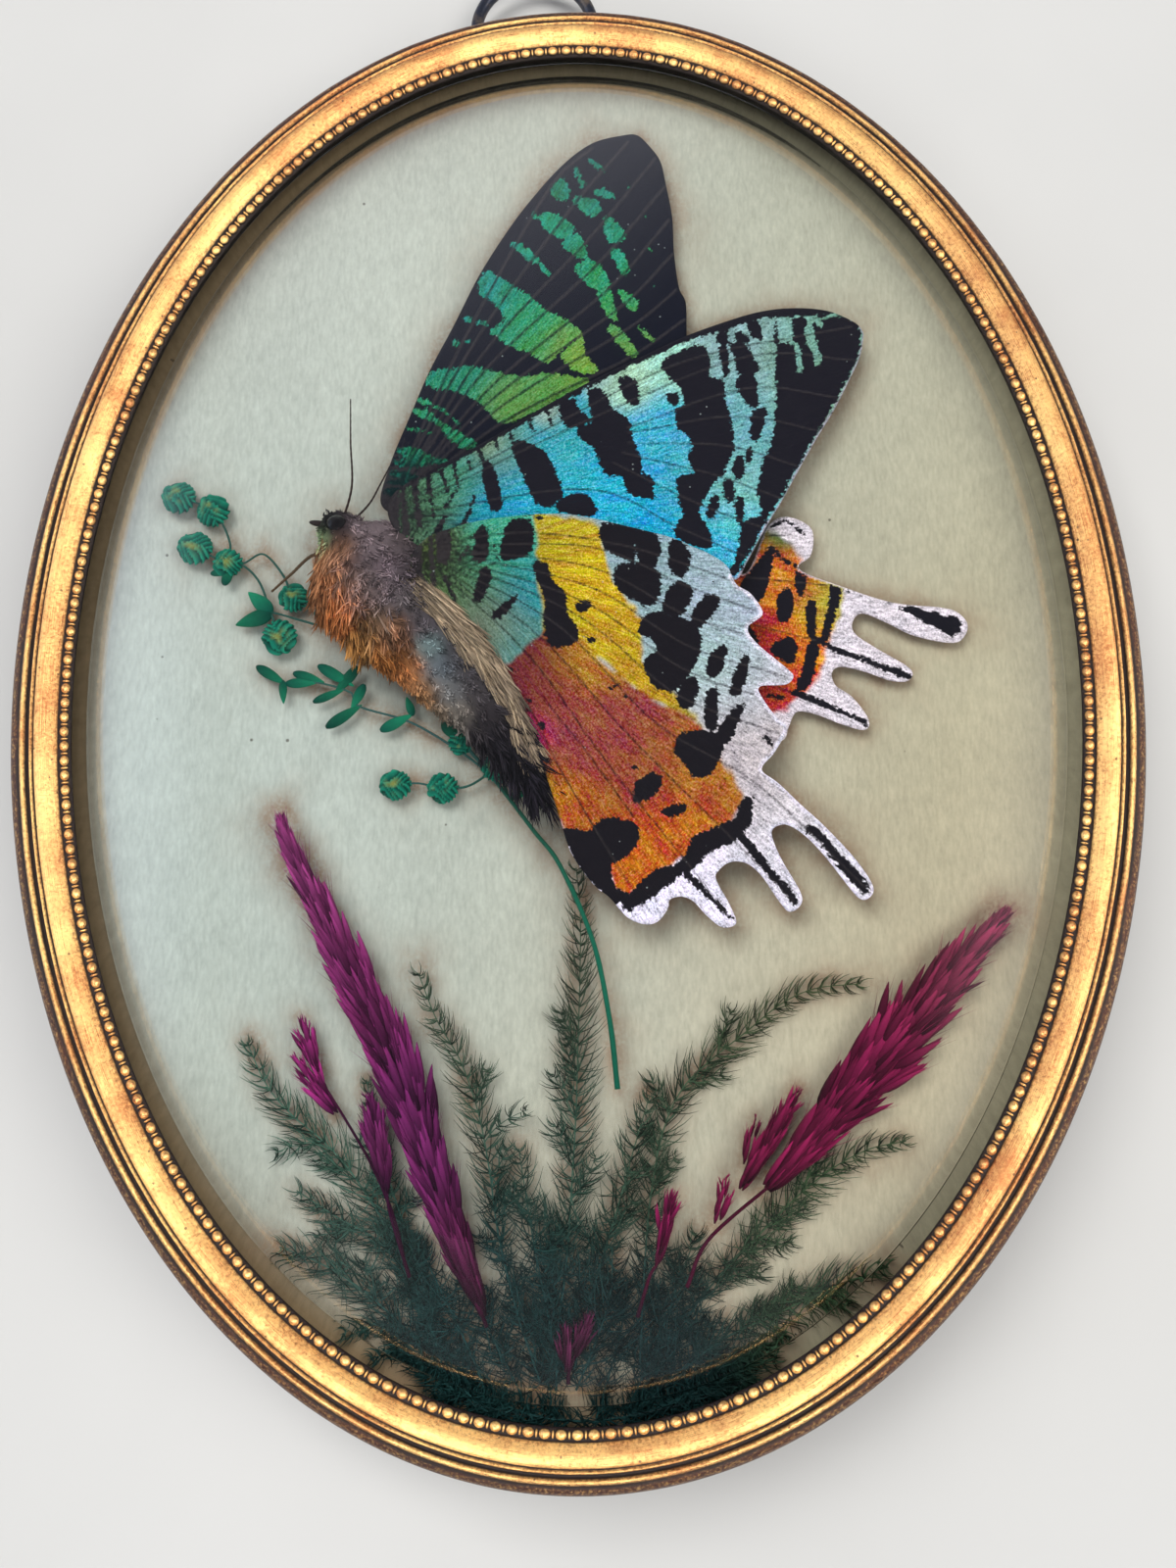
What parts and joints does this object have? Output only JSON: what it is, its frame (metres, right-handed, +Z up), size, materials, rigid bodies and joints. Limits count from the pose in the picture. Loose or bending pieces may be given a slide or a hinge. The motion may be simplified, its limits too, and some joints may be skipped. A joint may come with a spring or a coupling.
{
  "type": "oval domed-glass wall frame with a mounted sunset moth and dried plants",
  "caption": "Oval gilt wall frame with convex glass over a side-mounted sunset moth on dyed grass, feather grass and fern, hung by a swinging ring.",
  "frame": {"origin": "middle of the back board's flat back face, on the oval's centre", "axes": "+Z up the oval's long axis to the hanging ring, +X to the viewer's right, +Y out of the back towards the wall; the glass faces -Y"},
  "size_m": [0.1038, 0.0202, 0.1521],
  "materials": {
    "gilt": "worn gilt with brown wear and grime in the grooves",
    "strap_metal": "dull",
    "ring_wire": "black, half gloss",
    "clear_glass": "polished, clear",
    "card_paper": "matt greenish cream, stained at the rim and round the specimens",
    "backing": "matt brown",
    "moth_fur": "orange, grey and tan fur",
    "far_forewing_scales": "green and teal bands on blue-black, faint metal sheen",
    "far_hindwing_scales": "orange, red and yellow with black marks and a lilac-white fringe",
    "near_forewing_scales": "blue and teal with black bars, faint metal sheen",
    "near_hindwing_scales": "teal, gold and orange-red with black marks and a lilac-white fringe",
    "dyed_grass": "matt blue-green",
    "dried_fern": "matt olive to blue-green",
    "dyed_plume": "matt magenta"
  },
  "bodies": {
    "case": {"frame_moulding": "gilt", "dome_glass": "clear_glass", "backing_card": "card_paper", "back_board": "backing", "ring_strap": "strap_metal", "moth_body": "moth_fur", "far_forewing": "far_forewing_scales", "far_hindwing": "far_hindwing_scales", "near_forewing": "near_forewing_scales", "near_hindwing": "near_hindwing_scales", "quaking_grass": "dyed_grass", "fern_spray_left": "dried_fern", "fern_spray_middle": "dried_fern", "fern_spray_right": "dried_fern", "feather_grass_left": "dyed_plume", "feather_grass_small": "dyed_plume", "feather_grass_bud": "dyed_plume", "feather_grass_right": "dyed_plume", "feather_grass_low": "dyed_plume", "feather_grass_foot": "dyed_plume"},
    "ring": {"hanging_ring": "ring_wire"}
  },
  "joints": [
    {"name": "ring_swing", "type": "hinge", "parent": "case", "child": "ring", "pos_m": [-0.0038, 0.00195, 0.0693], "axis": [-1, 0, 0], "range_deg": [-30, 180]}
  ]
}
